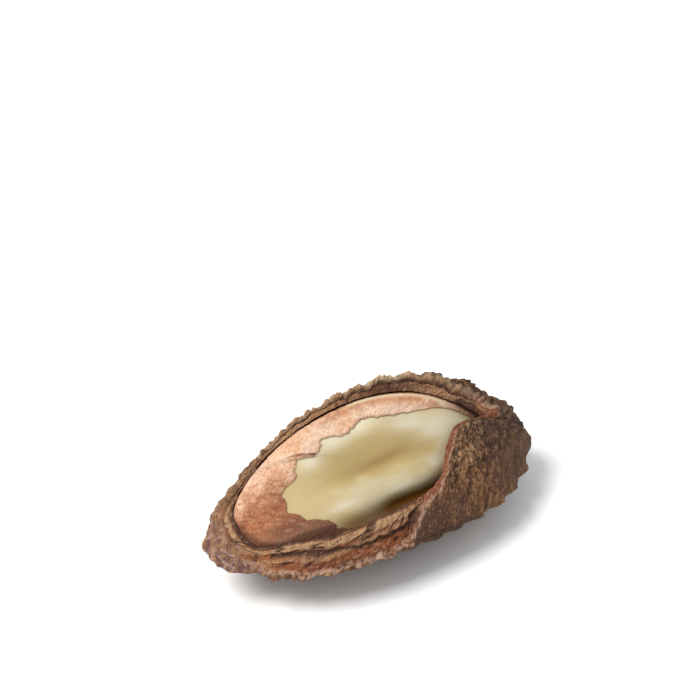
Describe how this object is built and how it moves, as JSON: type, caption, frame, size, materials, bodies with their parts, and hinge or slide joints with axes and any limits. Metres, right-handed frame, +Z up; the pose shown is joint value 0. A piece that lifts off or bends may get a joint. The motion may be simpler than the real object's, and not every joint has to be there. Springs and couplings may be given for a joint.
{
  "type": "brazil nut cracked open in its shell",
  "caption": "Long three-sided seed in a rough corky shell, one face broken open over a pale kernel with brown skin.",
  "frame": {"origin": "middle of the nut's box, on the surface that it rests on", "axes": "+X along the nut towards the end that keeps its shell, +Z up, -Y on the broken side"},
  "size_m": [0.0452, 0.024, 0.0184],
  "materials": {
    "shell": "rough, corky brown bark over a redder woody layer, matte",
    "kernel": "waxy cream nut flesh, soft sheen",
    "kernel_skin": "thin dry orange-brown skin, matte"
  },
  "bodies": {
    "root": {"shell": "shell", "kernel": "kernel", "kernel_skin": "kernel_skin"}
  },
  "joints": []
}
